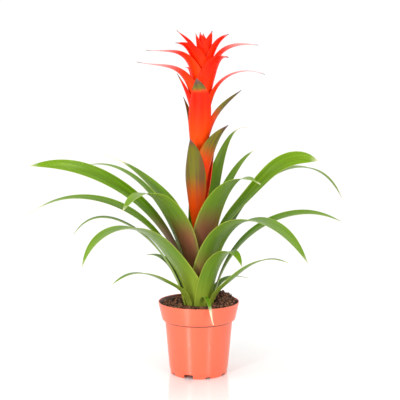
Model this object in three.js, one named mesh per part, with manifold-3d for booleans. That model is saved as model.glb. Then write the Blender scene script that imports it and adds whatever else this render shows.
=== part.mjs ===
// A potted bromeliad: a rosette of arching strap leaves round a leaning flower stalk, whose red bracts
// spiral up to a crown, standing in a hole in the soil of a 12 cm plastic nursery pot.
// Millimetres, +Z up. The origin is the centre of the pot's underside. +X is right, +Y is back.
import * as THREE from "three";
import { mergeVertices } from "three/addons/utils/BufferGeometryUtils.js";
import Module from "manifold-3d";

const wasm = await Module();
wasm.setup();

// ---- pot ----
const ROUND_SIDES = 40;
const POT_HEIGHT = 106;
const RIM_RADIUS = 60;
const BAND_BOTTOM_RADIUS = 54.3;
const BAND_BOTTOM_HEIGHT = 80;
const BODY_TOP_RADIUS = 49.8;
const BODY_BOTTOM_RADIUS = 43.4;
const BODY_BOTTOM_HEIGHT = 9;
const FOOT_RADIUS = 42;
const FOOT_HEIGHT = 4;
const FOOT_RING_WIDTH = 2.6;
const WALL = 1.5;
const ROUNDING = 1.2;
const FLOOR_RISE = 6;
const FLOOR_FILLET = 1;
const PAD_RADIUS = 12;
const NOTCH_COUNT = 9;
const NOTCH_START = 9;
const NOTCH_DEPTH = 14;
const TALL_NOTCH_EVERY = 3;
const TALL_NOTCH = { width: 14.4, height: 5.8 };
const LOW_NOTCH = { width: 7.6, height: 2.6 };

// ---- soil ----
const GAP = 0.35;
const SOIL_EDGE_HEIGHT = 101;
const SOIL_TOP_HEIGHT = 103.5;
const SOIL_RING_SHARES = [0.86, 0.72, 0.58, 0.46];
const SOIL_LUMP = 1.3;
const LUMP_FREE_EDGE = 1;
const LUMP_FADE = 6;
const SOIL_TILT = [3.2, 1.9];
const HEAP = { x: 36, y: 28, height: 6.5, spread: 15 };
const HOLE_RADIUS = 22;
const HOLE_TOP_RADIUS = 26;
const HOLE_FLOOR = 90;

// ---- stalk ----
const STALK_FOOT = HOLE_FLOOR + GAP;
const STALK_TOP = 424;
const STALK_FOOT_RADIUS = 5.6;
const STALK_TOP_RADIUS = 3.6;
const STALK_SIDES = 12;
const STALK_RINGS = 14;
const LEAN = 9;
const BOW = 3;
const LEAN_SPAN = 390;

// ---- blades ----
const BLADE_THICKNESS = 0.8;
const TIP_WIDTH = 1.4;
const LEAF_FOOT_HEIGHT = HOLE_FLOOR + 1;
const INNER_RING_RADIUS = 7;
const RING_STEP = 1.5;
const LONG_LEAF = 240;
const BROAD_LEAF = 20;
const LEAF_STEPS = { short: 10, long: 14, pinched: 20 };
const BRACT_STEPS = 10;
const CROWN_STEPS = 8;
const SHEATHING_FOOT = 30;
const SHEATH_ACROSS = 8;
const WIDE_ACROSS = 4;
const NARROW_ACROSS = 2;
const WIDEST_CLASP = 200;

// One row a leaf, the inner ones first. ring counts out from the stalk; azimuth is 0 right, 90 back,
// 180 left and 270 front, and sway is how far it has turned at the tip; slope is the midrib's at the
// foot, the quarters and the tip; foot is the width at the base, and peak is where the blade is widest;
// blunt and tail shape the narrowing, and each pinch of [place, share, span] narrows it once more; roll
// turns the tip about the midrib, as fast as the power rise, and settle is the share of it lost again;
// from clasp to free a blade opens from wrapping the stalk to a channel, whose arc is channel at the
// foot and tipChannel at the tip.
const LEAVES = [
  {
    ring: 0, azimuth: 307, length: 275, width: 47, foot: 14, slope: [90, 81.5, 66.5, 34, -22], roll: 10,
    free: 0.44, pinches: [[0.953, 0.4, 0.02]],
  },
  { ring: 0, azimuth: 91, length: 285, width: 28, foot: 12, slope: [89, 88, 84, 76, 50] },
  {
    ring: 1.8, azimuth: 61, length: 343, width: 32, foot: 10, slope: [88, 81, 67.5, 49, -4], blunt: 1.4,
    tail: 1.8,
  },
  {
    ring: 1.8, azimuth: 230, length: 273, width: 40, foot: 11, slope: [88, 79, 56, 22, -50], blunt: 3.2,
    pinches: [[0.81, 0.4, 0.03]],
  },
  {
    ring: 1, azimuth: 137, length: 346, width: 27, foot: 12, slope: [88, 76, 41, 25, 8], roll: -20,
    peak: 0.5, blunt: 1.5, tail: 2.1,
  },
  { ring: 3, azimuth: 60, length: 318, width: 16, foot: 12, slope: [89, 77, 49, 36, 16], roll: 15 },
  { ring: 2, azimuth: 161, length: 323, width: 21, foot: 12, slope: [88, 72, 55, 26, -16], roll: -10 },
  {
    ring: 4, azimuth: 10, length: 314, width: 26, slope: [90, 76.5, 50, 43, -18], roll: 84, rise: 2.4,
    blunt: 8,
  },
  {
    ring: 3, azimuth: 168, length: 371, width: 30, slope: [86, 63, 40, 18, -8], roll: -72, rise: 2,
    blunt: 3.2,
  },
  {
    ring: 5.3, azimuth: 305, length: 302, width: 44, foot: 48, slope: [89, 67.6, 30, -15, -56],
    sway: 20, peak: 0.4, blunt: 3,
  },
  {
    ring: 4, azimuth: 192, length: 330, width: 28, foot: 12, slope: [84, 61.4, 36.8, 4.5, -34],
    roll: -36, rise: 1, settle: 0.9,
  },
  { ring: 4, azimuth: 100, length: 260, width: 26, slope: [86, 60, 25, -12, -50] },
  { ring: 6.3, azimuth: 30, length: 404, width: 28, foot: 14, slope: [84, 66, 39, -5, -58], roll: 10 },
  { ring: 7, azimuth: 112, length: 200, width: 24, slope: [84, 60, 28, -10, -50] },
  { ring: 8, azimuth: 300, length: 168, width: 30, foot: 33, slope: [89, 69, 46, 14, -60] },
  { ring: 8.3, azimuth: 150, length: 118, width: 19, foot: 12, slope: [84, 66, 58, 24, -12], roll: -10 },
  { ring: 6, azimuth: 81, length: 250, width: 24, foot: 14, slope: [84, 58, 20, -14, -50] },
  {
    ring: 8.6, azimuth: 358, length: 272, width: 30, foot: 12, slope: [82, 62.3, 38.8, 9, -26],
    roll: 20, rise: 1,
  },
  {
    ring: 6.1, azimuth: 226, length: 278, width: 41, foot: 54, slope: [85, 56.5, 34.5, -10, -72],
    sway: -14, blunt: 2.4,
  },
  { ring: 8.3, azimuth: 84, length: 118, width: 18, foot: 14, slope: [84, 58, 22, -10, -40] },
  {
    ring: 8.3, azimuth: 191, length: 247, width: 22, foot: 14, slope: [80, 63.5, 43.5, 14, -56],
    roll: -10,
  },
  { ring: 9, azimuth: 322, length: 173, width: 20, foot: 12, slope: [82, 41, 38, 19, -13] },
  { ring: 8, azimuth: 35, length: 100, width: 14, foot: 12, slope: [84, 58, 25, -4, -15] },
  { ring: 9.2, azimuth: 279, length: 92, width: 6.5, foot: 7, slope: [80, 46, 2, -72, -66], sway: 36 },
  { ring: 9.2, azimuth: 235, length: 200, width: 16, foot: 9, slope: [84, 30, 24, 7, -22] },
];
const LEAF_SHAPE = {
  foot: 16,
  sway: 0,
  roll: 0,
  rise: 2,
  settle: 0,
  pinches: [],
  peak: 0.45,
  blunt: 2,
  tail: 0.95,
  clasp: 0.05,
  free: 0.5,
  channel: 70,
  tipChannel: 25,
};

// One row a bract, the lower ones first, with its foot's height on the stalk.
const BRACTS = [
  { azimuth: 248, height: 205, length: 143, width: 39, slope: [80, 81, 83, 80, 56], peak: 0.52 },
  { azimuth: 326, height: 235, length: 139, width: 47, slope: [82, 82, 78, 64, 42], blunt: 2.6 },
  { azimuth: 25, height: 222, length: 114, width: 22, slope: [78, 77, 80, 84, 82] },
  { azimuth: 142, height: 282, length: 128, width: 19, slope: [82, 82, 80, 74, 62] },
  {
    azimuth: 262, height: 297, length: 135, width: 40, slope: [79, 78, 80, 80, 75], sway: -28,
    peak: 0.5, blunt: 4,
  },
  {
    azimuth: 2, height: 300, length: 130, width: 36, slope: [80, 80, 71, 50, 44], peak: 0.55,
    blunt: 2.4, tail: 1.1,
  },
  {
    azimuth: 93, height: 309, length: 130, width: 22, slope: [82, 82, 72, 46, 20], peak: 0.55,
    blunt: 1.8,
  },
  {
    azimuth: 183, height: 316, length: 128, width: 32, slope: [82, 84, 78, 68, 60], peak: 0.5,
    tail: 1.2,
  },
  {
    azimuth: 347, height: 317, length: 180, width: 29.5, slope: [84, 84, 72, 20, -22], blunt: 1.2,
    tail: 1.8,
  },
  { azimuth: 84, height: 330, length: 140, width: 16, slope: [84, 84, 76, 40, 0], peak: 0.5, blunt: 1.8 },
  {
    azimuth: 205, height: 333, length: 180, width: 39, slope: [82, 83, 62, 10, 7], blunt: 1.2,
    tail: 1.5,
  },
  {
    azimuth: 117, height: 342, length: 136, width: 28, slope: [83, 84, 76, 44, 10], peak: 0.5,
    blunt: 1.6,
  },
  { azimuth: 313, height: 351, length: 130, width: 42, slope: [82, 82, 82, 60, -16], blunt: 2.6 },
  { azimuth: 203, height: 365, length: 160, width: 42, slope: [82, 82, 68, 8, 0], blunt: 1.2, tail: 1.6 },
  {
    azimuth: 352, height: 380, length: 145, width: 26.5, slope: [82, 82, 71, 18, -8], peak: 0.5,
    tail: 1.6,
  },
  {
    azimuth: 90, height: 385, length: 124, width: 18, foot: 7, slope: [82, 83, 75, 44, 0], peak: 0.55,
    blunt: 1.6,
  },
  { azimuth: 218, height: 394, length: 108, width: 38, slope: [82, 82, 74, 40, 0], peak: 0.5, tail: 1.1 },
  {
    azimuth: 354, height: 406, length: 97, width: 30, slope: [82, 82.4, 81, 66, 28], roll: -28,
    peak: 0.5, blunt: 1.6,
  },
  {
    azimuth: 100, height: 406, length: 86, width: 12, foot: 6, slope: [82, 80, 73, 64, 50], peak: 0.5,
    tail: 1.3,
  },
  {
    azimuth: 182, height: 420, length: 91, width: 29.5, slope: [79, 80, 70.6, 50.4, 40], roll: 28,
    blunt: 1.4, tail: 1.4,
  },
];
const BRACT_SHAPE = {
  foot: 9,
  sway: 0,
  roll: 0,
  rise: 2,
  settle: 0,
  pinches: [],
  peak: 0.4,
  blunt: 2,
  tail: 1,
  clasp: 0.3,
  free: 0.8,
  channel: 150,
  tipChannel: 90,
};

// The young bracts round the bud, all one growth with it.
const CROWN_BRACTS = [
  { azimuth: 312, height: 428, length: 71, width: 30, slope: [87, 84, 82, 78, 76] },
  { azimuth: 225, height: 432, length: 65, width: 30, slope: [87, 84, 82, 82, 83] },
  { azimuth: 205, height: 430, length: 66, width: 28, slope: [87, 83, 76, 76, 80] },
  { azimuth: 180, height: 427, length: 58, width: 26, slope: [87, 80, 70, 64, 70] },
  { azimuth: 100, height: 430, length: 70, slope: [87, 84, 78, 72, 66] },
  { azimuth: 35, height: 427, length: 66, width: 28, slope: [87, 86, 84, 82, 80] },
];
const CROWN_SHAPE = { ...BRACT_SHAPE, width: 24, blunt: 1.8 };
const CROWN_FOOT = STALK_TOP + GAP;
const CROWN_ROOT = 0.3;
const BUD_RADIUS = 4.4;
const BUD_TOP = 478;

const UP = new THREE.Vector3(0, 0, 1);

// ---- looks ----
const plastic = new THREE.MeshStandardMaterial({ color: 0xf0774f, roughness: 0.38, metalness: 0 });
const peat = new THREE.MeshStandardMaterial({ color: 0x3a241a, roughness: 0.95, metalness: 0 });
const stalkGreen = new THREE.MeshStandardMaterial({ color: 0x9c5a2e, roughness: 0.6, metalness: 0 });
const leafGreen = new THREE.MeshStandardMaterial({ color: 0x5f8f2e, roughness: 0.42, metalness: 0 });
const bractRed = new THREE.MeshStandardMaterial({ color: 0xf23412, roughness: 0.48, metalness: 0 });

const { degToRad: radians, lerp, smoothstep } = THREE.MathUtils;

function solidOf(geometry) {
  const bare = geometry.clone();
  bare.deleteAttribute("normal");
  bare.deleteAttribute("uv");
  const merged = mergeVertices(bare, 1e-4);
  return new wasm.Manifold(new wasm.Mesh({
    numProp: 3,
    vertProperties: new Float32Array(merged.attributes.position.array),
    triVerts: new Uint32Array(merged.index.array),
  }));
}

function geometryOf(solid) {
  const mesh = solid.getMesh();
  const geometry = new THREE.BufferGeometry();
  geometry.setAttribute("position", new THREE.BufferAttribute(mesh.vertProperties, 3));
  geometry.setIndex(new THREE.BufferAttribute(mesh.triVerts, 1));
  geometry.computeVertexNormals();
  return geometry;
}

// A turned solid from a profile of [radius, height] points, standing on +Z.
function turned(profile, sides) {
  const points = profile.map(([radius, height]) => new THREE.Vector2(radius, height));
  return new THREE.LatheGeometry(points, sides).rotateX(Math.PI / 2);
}

// How far the stalk and all that grows on it stand off the pot's axis at a height.
function leanAt(height) {
  const t = Math.max(0, (height - STALK_FOOT) / LEAN_SPAN);
  return LEAN * t * t - BOW * Math.sin(Math.PI * Math.min(t, 1));
}

function leaning(geometry) {
  const position = geometry.attributes.position;
  for (let i = 0; i < position.count; i += 1) {
    position.setX(i, position.getX(i) + leanAt(position.getZ(i)));
  }
  return geometry;
}

// ---- pot and soil ----
function potGeometry() {
  const inner = (radius) => radius - WALL;
  const body = turned([
    [0, 0],
    [PAD_RADIUS, 0],
    [PAD_RADIUS, FLOOR_RISE],
    [FOOT_RADIUS - FOOT_RING_WIDTH, FLOOR_RISE],
    [FOOT_RADIUS - FOOT_RING_WIDTH, 0],
    [FOOT_RADIUS, 0],
    [FOOT_RADIUS, FOOT_HEIGHT],
    [BODY_BOTTOM_RADIUS, BODY_BOTTOM_HEIGHT],
    [BODY_TOP_RADIUS, BAND_BOTTOM_HEIGHT - 2 * ROUNDING],
    [BODY_TOP_RADIUS + ROUNDING / 2, BAND_BOTTOM_HEIGHT - ROUNDING],
    [BAND_BOTTOM_RADIUS - ROUNDING / 2, BAND_BOTTOM_HEIGHT],
    [BAND_BOTTOM_RADIUS, BAND_BOTTOM_HEIGHT + ROUNDING],
    [RIM_RADIUS, POT_HEIGHT - ROUNDING],
    [RIM_RADIUS - ROUNDING / 2, POT_HEIGHT],
    [inner(RIM_RADIUS), POT_HEIGHT],
    [inner(BAND_BOTTOM_RADIUS), BAND_BOTTOM_HEIGHT + 2 * ROUNDING],
    [inner(BODY_TOP_RADIUS), BAND_BOTTOM_HEIGHT - ROUNDING],
    [inner(BODY_BOTTOM_RADIUS), BODY_BOTTOM_HEIGHT],
    [inner(FOOT_RADIUS) - FLOOR_FILLET, FLOOR_RISE + WALL],
    [0, FLOOR_RISE + WALL],
  ], ROUND_SIDES);
  let solid = solidOf(body);
  for (let i = 0; i < NOTCH_COUNT; i += 1) {
    const { width, height } = i % TALL_NOTCH_EVERY === 0 ? TALL_NOTCH : LOW_NOTCH;
    const notch = new THREE.BoxGeometry(NOTCH_DEPTH, width, 2 * height);
    notch.translate(FOOT_RADIUS, 0, 0);
    notch.rotateZ(radians(NOTCH_START + (i * 360) / NOTCH_COUNT));
    solid = solid.subtract(solidOf(notch));
  }
  return geometryOf(solid);
}

// Clods and hollows of the soil's surface, none near its hole.
function lumpAt(x, y) {
  const inside = (Math.hypot(x, y) - HOLE_TOP_RADIUS - LUMP_FREE_EDGE) / LUMP_FADE;
  const waves = Math.sin(x / 4.1 + 1.3) * Math.cos(y / 3.7) + 0.7 * Math.sin(x / 7.3 - y / 6.1);
  return Math.min(1, Math.max(0, inside)) * SOIL_LUMP * waves;
}

// The soil lies higher at the right and the back than at the left and the front, and is heaped up there.
function tiltAt(x, y) {
  const away = Math.hypot(x - HEAP.x, y - HEAP.y) / HEAP.spread;
  return (SOIL_TILT[0] * x + SOIL_TILT[1] * y) / RIM_RADIUS + HEAP.height * Math.exp(-away * away);
}

function soilGeometry() {
  const wallSlope = (RIM_RADIUS - BAND_BOTTOM_RADIUS) / (POT_HEIGHT - BAND_BOTTOM_HEIGHT);
  const lowestEdge = SOIL_EDGE_HEIGHT - Math.hypot(...SOIL_TILT);
  const edgeRadius = RIM_RADIUS - WALL - GAP - wallSlope * (POT_HEIGHT - lowestEdge);
  const geometry = turned([
    [0, FLOOR_RISE + WALL + GAP],
    [FOOT_RADIUS - WALL - 2 * FLOOR_FILLET, FLOOR_RISE + WALL + GAP],
    [BODY_BOTTOM_RADIUS - WALL - 2 * GAP, BODY_BOTTOM_HEIGHT + GAP],
    [BODY_TOP_RADIUS - WALL - 2 * GAP, BAND_BOTTOM_HEIGHT - ROUNDING],
    [edgeRadius, SOIL_EDGE_HEIGHT],
    ...SOIL_RING_SHARES.map((share) => [edgeRadius * share, SOIL_TOP_HEIGHT]),
    [HOLE_TOP_RADIUS, SOIL_TOP_HEIGHT - GAP],
    [HOLE_RADIUS, HOLE_FLOOR],
    [0, HOLE_FLOOR],
  ], ROUND_SIDES);
  const position = geometry.attributes.position;
  for (let i = 0; i < position.count; i += 1) {
    const [x, y, z] = [position.getX(i), position.getY(i), position.getZ(i)];
    if (z > HOLE_FLOOR + GAP) {
      position.setZ(i, z + tiltAt(x, y) + (z === SOIL_TOP_HEIGHT ? lumpAt(x, y) : 0));
    }
  }
  return geometry;
}

// ---- stalk ----
function stalkRadius(height) {
  const t = (height - STALK_FOOT) / (STALK_TOP - STALK_FOOT);
  return lerp(STALK_FOOT_RADIUS, STALK_TOP_RADIUS, t);
}

function stalkGeometry() {
  const profile = [[0, STALK_FOOT]];
  for (let i = 0; i <= STALK_RINGS; i += 1) {
    const height = lerp(STALK_FOOT, STALK_TOP, i / STALK_RINGS);
    profile.push([stalkRadius(height), height]);
  }
  profile.push([0, STALK_TOP]);
  return leaning(turned(profile, STALK_SIDES));
}

// ---- leaves and bracts ----
// Full at the peak, the foot's width at the base, and narrowing to the tip and where it is pinched.
function widthAt(blade, s) {
  const grown = smoothstep(s, 0, blade.peak);
  const beyond = Math.max(0, (s - blade.peak) / (1 - blade.peak));
  let taper = (1 - beyond ** blade.blunt) ** blade.tail;
  for (const [place, share, span] of blade.pinches) {
    taper *= 1 - (1 - share) * Math.exp(-(((s - place) / span) ** 2));
  }
  return Math.max(TIP_WIDTH, lerp(blade.foot, blade.width, grown) * taper);
}

// The midrib's frames: points on it, the blade's sideways direction and the normal of its upper face.
function midrib(blade, steps) {
  const slopes = new THREE.SplineCurve(blade.slope.map((degrees, i) => new THREE.Vector2(i, degrees)));
  const point = new THREE.Vector3(blade.radius, 0, blade.height).applyAxisAngle(UP, radians(blade.azimuth));
  const frames = [];
  let before = null;
  for (let i = 0; i <= steps; i += 1) {
    const s = i / steps;
    const heading = radians(blade.azimuth + blade.sway * s * s);
    const slope = radians(slopes.getPoint(s).y);
    const along = new THREE.Vector3(Math.cos(slope), 0, Math.sin(slope)).applyAxisAngle(UP, heading);
    const across = new THREE.Vector3(-Math.sin(heading), Math.cos(heading), 0);
    if (before) {
      point.addScaledVector(along.clone().add(before), blade.length / steps / 2);
    }
    before = along;
    const kept = 1 - blade.settle * smoothstep(s, 0.5, 1);
    const side = across.applyAxisAngle(along, radians(blade.roll) * kept * s ** blade.rise);
    frames.push({ s, point: point.clone(), side, normal: along.clone().cross(side) });
  }
  return frames;
}

// One row of a blade: points across it and their normals. Near its foot the blade wraps round the
// stalk's axis, and further out it is a shallow channel.
function bladeRow(blade, frame, across) {
  const { s, point, side, normal } = frame;
  const width = widthAt(blade, s);
  const reach = Math.hypot(point.x, point.y);
  const free = smoothstep(s, blade.clasp, blade.free);
  const clasped = Math.min(width / reach, radians(WIDEST_CLASP));
  const channel = radians(lerp(blade.channel, blade.tipChannel, s));
  const wrap = lerp(clasped, channel, free);
  const curve = width / wrap;
  const row = [];
  for (let j = 0; j <= across; j += 1) {
    const angle = wrap * (j / across - 0.5);
    const middle = point.clone()
      .addScaledVector(side, curve * Math.sin(angle))
      .addScaledVector(normal, curve * (1 - Math.cos(angle)));
    const up = normal.clone().multiplyScalar(Math.cos(angle)).addScaledVector(side, -Math.sin(angle));
    row.push({ middle, up });
  }
  return row;
}

// A closed blade of even thickness, split into triangles alike on both faces.
function bladeGeometry(blade, steps, across) {
  const rows = midrib(blade, steps).map((frame) => bladeRow(blade, frame, across));
  const positions = [];
  for (const half of [0.5, -0.5]) {
    for (const row of rows) {
      for (const { middle, up } of row) {
        positions.push(...middle.clone().addScaledVector(up, half * BLADE_THICKNESS).toArray());
      }
    }
  }
  const face = rows.length * (across + 1);
  const upper = (i, j) => i * (across + 1) + j;
  const lower = (i, j) => face + upper(i, j);
  const index = [];
  const quad = (a, b, c, d) => index.push(a, b, c, a, c, d);
  for (let i = 0; i < steps; i += 1) {
    for (let j = 0; j < across; j += 1) {
      quad(upper(i, j), upper(i + 1, j), upper(i + 1, j + 1), upper(i, j + 1));
      index.push(lower(i, j), lower(i + 1, j + 1), lower(i + 1, j));
      index.push(lower(i, j), lower(i, j + 1), lower(i + 1, j + 1));
    }
    quad(upper(i, 0), lower(i, 0), lower(i + 1, 0), upper(i + 1, 0));
    quad(upper(i, across), upper(i + 1, across), lower(i + 1, across), lower(i, across));
  }
  for (let j = 0; j < across; j += 1) {
    quad(upper(0, j), upper(0, j + 1), lower(0, j + 1), lower(0, j));
    quad(upper(steps, j), lower(steps, j), lower(steps, j + 1), upper(steps, j + 1));
  }
  const geometry = new THREE.BufferGeometry();
  geometry.setAttribute("position", new THREE.Float32BufferAttribute(positions, 3));
  geometry.setIndex(index);
  geometry.computeVertexNormals();
  return leaning(geometry);
}

function leafSteps(leaf) {
  if (leaf.pinches.length > 0) {
    return LEAF_STEPS.pinched;
  }
  return leaf.length > LONG_LEAF ? LEAF_STEPS.long : LEAF_STEPS.short;
}

function leafAcross(leaf) {
  if (leaf.foot > SHEATHING_FOOT) {
    return SHEATH_ACROSS;
  }
  return leaf.width > BROAD_LEAF ? WIDE_ACROSS : NARROW_ACROSS;
}

function leafGeometry(row) {
  const radius = INNER_RING_RADIUS + RING_STEP * row.ring;
  const leaf = { ...LEAF_SHAPE, ...row, radius, height: LEAF_FOOT_HEIGHT };
  return bladeGeometry(leaf, leafSteps(leaf), leafAcross(leaf));
}

function bractGeometry(row) {
  const radius = stalkRadius(row.height) + GAP + BLADE_THICKNESS;
  return bladeGeometry({ ...BRACT_SHAPE, ...row, radius }, BRACT_STEPS, WIDE_ACROSS);
}

// The bud and the young bracts that grow from it, joined as one, with the gaps they close filled.
function crownGeometry() {
  const bud = leaning(turned([
    [0, CROWN_FOOT],
    [STALK_TOP_RADIUS, CROWN_FOOT],
    [BUD_RADIUS, lerp(CROWN_FOOT, BUD_TOP, 0.4)],
    [0.6 * BUD_RADIUS, lerp(CROWN_FOOT, BUD_TOP, 0.8)],
    [0, BUD_TOP],
  ], STALK_SIDES));
  let solid = solidOf(bud);
  for (const row of CROWN_BRACTS) {
    const young = { ...CROWN_SHAPE, ...row, radius: STALK_TOP_RADIUS - CROWN_ROOT };
    solid = solid.add(solidOf(bladeGeometry(young, CROWN_STEPS, WIDE_ACROSS)));
  }
  const outermost = solid.decompose().sort((a, b) => b.volume() - a.volume())[0];
  return geometryOf(outermost);
}

// ---- the plant in its pot ----
const plant = new THREE.Group();

function place(name, geometry, material) {
  const mesh = new THREE.Mesh(geometry, material);
  mesh.name = name;
  plant.add(mesh);
}

const numbered = (word, i) => `${word}_${String(i + 1).padStart(2, "0")}`;

place("pot", potGeometry(), plastic);
place("soil", soilGeometry(), peat);
place("stalk", stalkGeometry(), stalkGreen);
LEAVES.forEach((row, i) => place(numbered("leaf", i), leafGeometry(row), leafGreen));
BRACTS.forEach((row, i) => place(numbered("bract", i), bractGeometry(row), bractRed));
place("crown", crownGeometry(), bractRed);

export default plant;
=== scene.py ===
"""A potted bromeliad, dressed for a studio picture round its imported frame.

Every blade, the crown, the stalk, the soil and the pot are built again with fine meshes where the plain
solids stand. Sizes in the tables are millimetres, +Z up, and the meshes are in metres.
"""

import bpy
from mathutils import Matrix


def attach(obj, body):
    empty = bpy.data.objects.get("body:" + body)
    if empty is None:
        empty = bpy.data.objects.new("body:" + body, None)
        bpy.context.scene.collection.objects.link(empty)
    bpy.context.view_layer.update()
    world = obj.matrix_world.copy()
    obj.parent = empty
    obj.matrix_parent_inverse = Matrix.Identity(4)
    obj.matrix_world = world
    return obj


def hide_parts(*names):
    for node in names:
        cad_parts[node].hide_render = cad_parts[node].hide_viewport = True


bl_info = {
    "name": "Potted bromeliad",
    "version": (1, 0, 0),
    "blender": (4, 5, 0),
    "location": "3D View > Sidebar > Bromeliad",
    "description": "Builds a bromeliad in its nursery pot, piece by piece, round a packed frame",
    "category": "Add Mesh",
}

import math
import random

import bpy
import numpy as np
from mathutils import Vector, noise

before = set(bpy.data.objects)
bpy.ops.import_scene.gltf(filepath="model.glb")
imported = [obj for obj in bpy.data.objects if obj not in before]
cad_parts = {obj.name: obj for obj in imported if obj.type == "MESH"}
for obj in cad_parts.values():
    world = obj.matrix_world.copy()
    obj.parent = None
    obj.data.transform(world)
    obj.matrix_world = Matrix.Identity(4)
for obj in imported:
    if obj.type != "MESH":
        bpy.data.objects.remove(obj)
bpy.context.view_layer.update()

MM = 0.001
BODY = "root"

# ---- the plant's own measures, as in the solids ----
STALK_FOOT = 90.35
STALK_TOP = 424
STALK_FOOT_RADIUS = 5.6
STALK_TOP_RADIUS = 3.6
STALK_RINGS = 60
# The flower head ends LEAN to the right of the pot's axis, after a bow of BOW to the left.
LEAN = 9
BOW = 3
LEAN_SPAN = 390
LEAF_FOOT_HEIGHT = 91
INNER_RING_RADIUS = 7
RING_STEP = 1.5
BRACT_STAND_OFF = 1.15
CROWN_ROOT = 0.3
# The most degrees that a blade's foot wraps round the stalk, and the least width of a tip.
WIDEST_CLASP = 200
TIP_WIDTH = 1.4
BLADE_STEPS = 48
CROWN_STEPS = 30
BLADE_COLUMNS = 10

# A row gives what sets its blade apart. Lengths and widths are millimetres, angles are degrees, and
# places along a blade are shares of its length.
# - azimuth is 0 right, 90 back, 180 left and 270 front, and sway is how far it turns by the tip.
# - slope is the midrib's at the foot, at the quarters and at the tip.
# - roll tips the blade over on its midrib by the tip. A higher rise leaves more of it to the outer part,
#   and settle is the share of it that is lost again past the middle.
# - width is reached at peak, and foot is the width at the foot. blunt and tail shape the taper beyond
#   the peak. Each of pinches is a place, the share of the width that it leaves and how far it spreads.
# - clasp and free are where a blade starts to part from the ring it clasps and where it has. Its own curl
#   across goes from channel at the foot to tip_channel at the tip.
# - fade is where a tip starts to dry, or on a bract to pale with painted highlight, and fading how much
#   further on it has.
BLADE_SHAPE = dict(sway=0, roll=0, rise=2, settle=0, blunt=2, pinches=())

# One row a leaf, roughly from the innermost ring outwards. ring counts out from the stalk, and flush is
# how far up the brown flush of the foot reaches.
LEAVES = [
    dict(ring=0, azimuth=307, length=275, width=47, foot=14, slope=[90, 81.5, 66.5, 34, -22], roll=10,
         free=0.44, flush=0.64, pinches=[(0.953, 0.4, 0.02)]),
    dict(ring=0, azimuth=91, length=285, width=28, foot=12, slope=[89, 88, 84, 76, 50], flush=0.3),
    dict(ring=1.8, azimuth=61, length=343, width=32, foot=10, slope=[88, 81, 67.5, 49, -4], blunt=1.4,
         tail=1.8, fade=0.84),
    dict(ring=1.8, azimuth=230, length=273, width=40, foot=11, slope=[88, 79, 56, 22, -50], blunt=3.2,
         flush=0.6, pinches=[(0.81, 0.4, 0.03)]),
    dict(ring=1, azimuth=137, length=346, width=27, foot=12, slope=[88, 76, 41, 25, 8], roll=-20,
         peak=0.5, blunt=1.5, tail=2.1, flush=0.4, fade=0.8),
    dict(ring=3, azimuth=60, length=318, width=16, foot=12, slope=[89, 77, 49, 36, 16], roll=15,
         fade=0.92),
    dict(ring=2, azimuth=161, length=323, width=21, foot=12, slope=[88, 72, 55, 26, -16], roll=-10,
         flush=0.35, fade=0.9),
    dict(ring=4, azimuth=10, length=314, width=26, slope=[90, 76.5, 50, 43, -18], roll=84, rise=2.4,
         blunt=8, flush=0.3),
    dict(ring=3, azimuth=168, length=371, width=30, slope=[86, 63, 40, 18, -8], roll=-72, blunt=3.2,
         flush=0.46),
    dict(ring=5.3, azimuth=305, length=302, width=44, foot=48, slope=[89, 67.6, 30, -15, -56], sway=20,
         peak=0.4, blunt=3, flush=0.36),
    dict(ring=4, azimuth=192, length=330, width=28, foot=12, slope=[84, 61.4, 36.8, 4.5, -34], roll=-36,
         rise=1, settle=0.9, fade=0.9),
    dict(ring=4, azimuth=100, length=260, width=26, slope=[86, 60, 25, -12, -50]),
    dict(ring=6.3, azimuth=30, length=404, width=28, foot=14, slope=[84, 66, 39, -5, -58], roll=10,
         fade=0.94),
    dict(ring=7, azimuth=112, length=200, width=24, slope=[84, 60, 28, -10, -50]),
    dict(ring=8, azimuth=300, length=168, width=30, foot=33, slope=[89, 69, 46, 14, -60]),
    dict(ring=8.3, azimuth=150, length=118, width=19, foot=12, slope=[84, 66, 58, 24, -12], roll=-10),
    dict(ring=6, azimuth=81, length=250, width=24, foot=14, slope=[84, 58, 20, -14, -50]),
    dict(ring=8.6, azimuth=358, length=272, width=30, foot=12, slope=[82, 62.3, 38.8, 9, -26], roll=20,
         rise=1),
    dict(ring=6.1, azimuth=226, length=278, width=41, foot=54, slope=[85, 56.5, 34.5, -10, -72], sway=-14,
         blunt=2.4),
    dict(ring=8.3, azimuth=84, length=118, width=18, foot=14, slope=[84, 58, 22, -10, -40]),
    dict(ring=8.3, azimuth=191, length=247, width=22, foot=14, slope=[80, 63.5, 43.5, 14, -56], roll=-10),
    dict(ring=9, azimuth=322, length=173, width=20, foot=12, slope=[82, 41, 38, 19, -13]),
    dict(ring=8, azimuth=35, length=100, width=14, foot=12, slope=[84, 58, 25, -4, -15]),
    dict(ring=9.2, azimuth=279, length=92, width=6.5, foot=7, slope=[80, 46, 2, -72, -66], sway=36,
         fade=0.7, fading=0.12),
    dict(ring=9.2, azimuth=235, length=200, width=16, foot=9, slope=[84, 30, 24, 7, -22]),
]
LEAF_SHAPE = dict(BLADE_SHAPE, foot=16, peak=0.45, tail=0.95, clasp=0.05, free=0.5, channel=70,
                  tip_channel=25, flush=0, fade=0.96, fading=0.06)

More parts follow.
